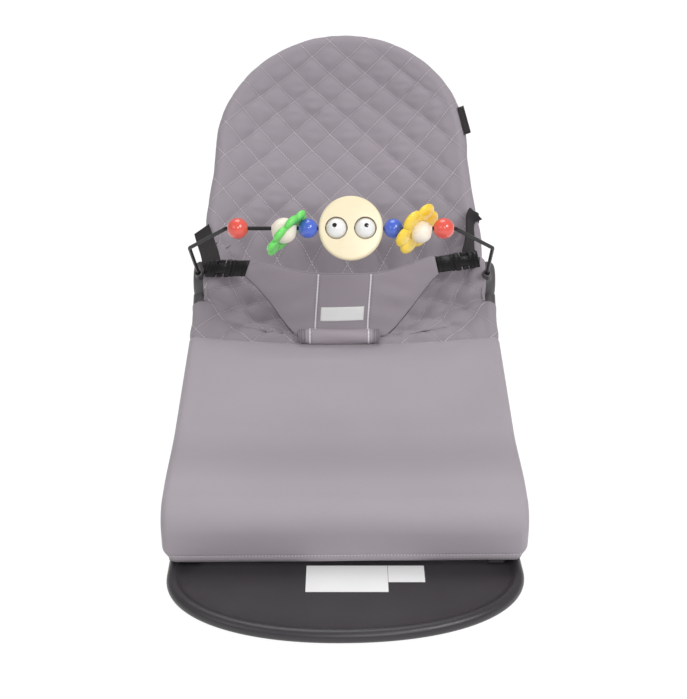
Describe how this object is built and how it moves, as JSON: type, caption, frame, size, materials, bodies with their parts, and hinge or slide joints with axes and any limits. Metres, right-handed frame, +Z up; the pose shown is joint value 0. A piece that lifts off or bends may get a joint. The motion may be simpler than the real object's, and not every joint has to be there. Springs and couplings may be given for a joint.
{
  "type": "baby bouncer",
  "caption": "Baby bouncer with a moulded foot plate and floor tube, a cloth seat on a springing leg frame, a quilted reclining back and a toy bar with beads and a face.",
  "frame": {"origin": "floor level under the centre of the bounding box", "axes": "+X to the right seen from the front, +Y from the foot plate towards the head, +Z up"},
  "size_m": [0.393, 0.7416, 0.4664],
  "materials": {
    "plate_plastic": "fine texture",
    "black_steel": "satin",
    "bright_steel": "satin",
    "rubber": "matt",
    "hinge_plastic": "fine texture",
    "buckle_plastic": "satin",
    "leg_cloth": "smooth weave",
    "quilt_cloth": "quilted weave",
    "restraint_cloth": "smooth weave",
    "webbing": "ribbed webbing",
    "red_paint": "gloss paint on wood",
    "blue_paint": "gloss paint on wood",
    "green_paint": "gloss paint on wood",
    "yellow_paint": "gloss paint on wood",
    "pale_wood": "clear lacquer",
    "cream_paint": "satin paint on wood",
    "eye_white": "gloss"
  },
  "bodies": {
    "base": {"foot_plate": "plate_plastic", "floor_tube": "black_steel", "front_pad_middle": "rubber", "front_pad_left": "rubber", "front_pad_right": "rubber", "rear_foot_left": "rubber", "rear_foot_right": "rubber", "leg_bracket_left": "bright_steel", "leg_bracket_right": "bright_steel", "bracket_screw_left": "bright_steel", "bracket_screw_right": "bright_steel", "fold_pin_left": "bright_steel", "fold_pin_right": "bright_steel"},
    "fold_links": {"leg_link_left": "hinge_plastic", "leg_link_right": "hinge_plastic", "bounce_pin_left": "bright_steel", "bounce_pin_right": "bright_steel"},
    "leg_frame": {"leg_tube_left": "black_steel", "leg_tube_right": "black_steel", "knee_bar": "black_steel", "hem_rod": "black_steel", "leg_panel": "leg_cloth", "hip_cover_left": "leg_cloth", "hip_cover_right": "leg_cloth", "seat_sling": "quilt_cloth", "restraint_panel": "restraint_cloth", "crotch_keeper": "restraint_cloth", "hinge_outer_left": "hinge_plastic", "hinge_outer_right": "hinge_plastic", "detent_washer_left": "bright_steel", "detent_washer_right": "bright_steel", "pivot_bolt_left": "bright_steel", "pivot_bolt_right": "bright_steel", "buckle_male_left": "buckle_plastic", "buckle_male_right": "buckle_plastic", "buckle_female_left": "buckle_plastic", "buckle_female_right": "buckle_plastic"},
    "backrest": {"back_tube": "black_steel", "back_binding": "quilt_cloth", "back_panel": "quilt_cloth", "hinge_inner_left": "hinge_plastic", "hinge_inner_right": "hinge_plastic", "strap_left": "webbing", "strap_right": "webbing"},
    "toy_bar": {"toy_wire": "black_steel"},
    "red_left": {"red_bead_left": "red_paint"},
    "wood_left": {"wood_ball_left": "pale_wood", "flower_ring_green": "green_paint"},
    "blue_left": {"blue_bead_left": "blue_paint"},
    "face": {"face_disc": "cream_paint"},
    "eye_left": {"eyeball_left": "eye_white"},
    "eye_right": {"eyeball_right": "eye_white"},
    "blue_right": {"blue_bead_right": "blue_paint"},
    "wood_right": {"wood_ball_right": "pale_wood", "flower_ring_yellow": "yellow_paint"},
    "red_right": {"red_bead_right": "red_paint"},
    "tab_upper_left": {"release_tab_upper_left": "buckle_plastic"},
    "tab_lower_left": {"release_tab_lower_left": "buckle_plastic"},
    "tab_upper_right": {"release_tab_upper_right": "buckle_plastic"},
    "tab_lower_right": {"release_tab_lower_right": "buckle_plastic"}
  },
  "joints": [
    {"name": "leg_fold", "type": "hinge", "parent": "base", "child": "fold_links", "pos_m": [0, -0.2308, 0.0275], "axis": [1, 0, 0], "range_deg": [-14, 0]},
    {"name": "bounce", "type": "hinge", "parent": "fold_links", "child": "leg_frame", "pos_m": [0, -0.2388, 0.0405], "axis": [1, 0, 0], "range_deg": [-4, 2.5], "stiffness_Nm_per_rad": 500, "springref_deg": 0.54},
    {"name": "recline", "type": "hinge", "parent": "leg_frame", "child": "backrest", "pos_m": [0, 0.1242, 0.198], "axis": [1, 0, 0], "range_deg": [-30, 22]},
    {"name": "toy_bar_pull", "type": "slide", "parent": "leg_frame", "child": "toy_bar", "axis": [0, -0.8039, 0.5948], "range_m": [0, 0.02]},
    {"name": "red_left_slide", "type": "slide", "parent": "toy_bar", "child": "red_left", "axis": [1, 0, 0], "range_m": [0, 0.018]},
    {"name": "wood_left_spin", "type": "hinge", "parent": "toy_bar", "child": "wood_left", "pos_m": [-0.0676, -0.0647, 0.33778], "axis": [1, 0, 0], "continuous": true},
    {"name": "blue_left_spin", "type": "hinge", "parent": "toy_bar", "child": "blue_left", "pos_m": [-0.0408, -0.0647, 0.33778], "axis": [1, 0, 0], "continuous": true},
    {"name": "face_spin", "type": "hinge", "parent": "toy_bar", "child": "face", "pos_m": [0.0072, -0.0647, 0.33778], "axis": [1, 0, 0], "continuous": true},
    {"name": "blue_right_spin", "type": "hinge", "parent": "toy_bar", "child": "blue_right", "pos_m": [0.055, -0.0647, 0.33778], "axis": [1, 0, 0], "continuous": true},
    {"name": "wood_right_spin", "type": "hinge", "parent": "toy_bar", "child": "wood_right", "pos_m": [0.0858, -0.0647, 0.33778], "axis": [1, 0, 0], "continuous": true},
    {"name": "red_right_spin", "type": "hinge", "parent": "toy_bar", "child": "red_right", "pos_m": [0.1112, -0.0647, 0.33778], "axis": [1, 0, 0], "continuous": true},
    {"name": "eye_left_spin", "type": "hinge", "parent": "face", "child": "eye_left", "pos_m": [-0.009, -0.0647, 0.33778], "axis": [1, 0, 0], "continuous": true},
    {"name": "eye_right_spin", "type": "hinge", "parent": "face", "child": "eye_right", "pos_m": [0.0234, -0.0647, 0.33778], "axis": [1, 0, 0], "continuous": true},
    {"name": "tab_upper_left_press", "type": "slide", "parent": "leg_frame", "child": "tab_upper_left", "axis": [0, -0.2419, -0.9703], "range_m": [0, 0.002], "stiffness_N_per_m": 400, "springref_m": -0.001},
    {"name": "tab_lower_left_press", "type": "slide", "parent": "leg_frame", "child": "tab_lower_left", "axis": [0, 0.2419, 0.9703], "range_m": [0, 0.002], "stiffness_N_per_m": 400, "springref_m": -0.001},
    {"name": "tab_upper_right_press", "type": "slide", "parent": "leg_frame", "child": "tab_upper_right", "axis": [0, -0.2419, -0.9703], "range_m": [0, 0.002], "stiffness_N_per_m": 400, "springref_m": -0.001},
    {"name": "tab_lower_right_press", "type": "slide", "parent": "leg_frame", "child": "tab_lower_right", "axis": [0, 0.2419, 0.9703], "range_m": [0, 0.002], "stiffness_N_per_m": 400, "springref_m": -0.001}
  ]
}
